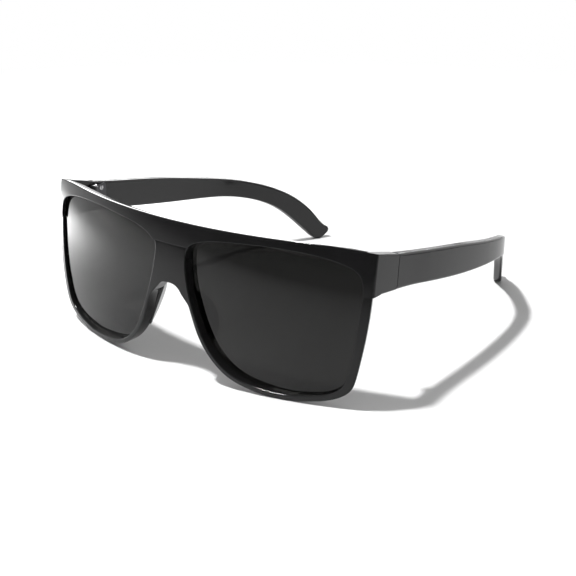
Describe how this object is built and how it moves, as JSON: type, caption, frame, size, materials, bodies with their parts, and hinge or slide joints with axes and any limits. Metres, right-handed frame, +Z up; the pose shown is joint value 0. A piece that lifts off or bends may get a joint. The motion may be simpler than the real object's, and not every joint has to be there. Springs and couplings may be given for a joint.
{
  "type": "sunglasses",
  "caption": "Flat top sunglasses: straight brow, one-piece wrapped front, curved tinted lenses, nose pads and folding temples with ear hooks on screwed hinges",
  "frame": {"origin": "on the table, under the middle of the open glasses", "axes": "+Z up, the front faces -Y, the temples run towards +Y, +X is the wearer's left"},
  "size_m": [0.149, 0.1624, 0.0567],
  "materials": {
    "black_plastic": "polished",
    "tinted_lens": "polished",
    "hinge_metal": "satin",
    "screw_metal": "bright",
    "steel_wire": "plain"
  },
  "bodies": {
    "front": {"front_frame": "black_plastic", "lens_left": "tinted_lens", "lens_right": "tinted_lens", "nose_pad_left": "black_plastic", "nose_pad_right": "black_plastic", "front_hinge_leaf_left": "hinge_metal", "front_hinge_leaf_right": "hinge_metal", "hinge_screw_left": "screw_metal", "hinge_screw_right": "screw_metal", "front_leaf_screws_left": "screw_metal", "front_leaf_screws_right": "screw_metal"},
    "left_arm": {"temple_left": "black_plastic", "temple_core_left": "steel_wire", "temple_hinge_leaf_left": "hinge_metal", "temple_leaf_screws_left": "screw_metal"},
    "right_arm": {"temple_right": "black_plastic", "temple_core_right": "steel_wire", "temple_hinge_leaf_right": "hinge_metal", "temple_leaf_screws_right": "screw_metal"}
  },
  "joints": [
    {"name": "left_temple_fold", "type": "hinge", "parent": "front", "child": "left_arm", "pos_m": [0.0687, -0.04933, 0.0459], "axis": [0, 0, 1], "range_deg": [0, 84]},
    {"name": "right_temple_fold", "type": "hinge", "parent": "front", "child": "right_arm", "pos_m": [-0.0687, -0.04933, 0.0459], "axis": [0, 0, -1], "range_deg": [0, 78]}
  ]
}
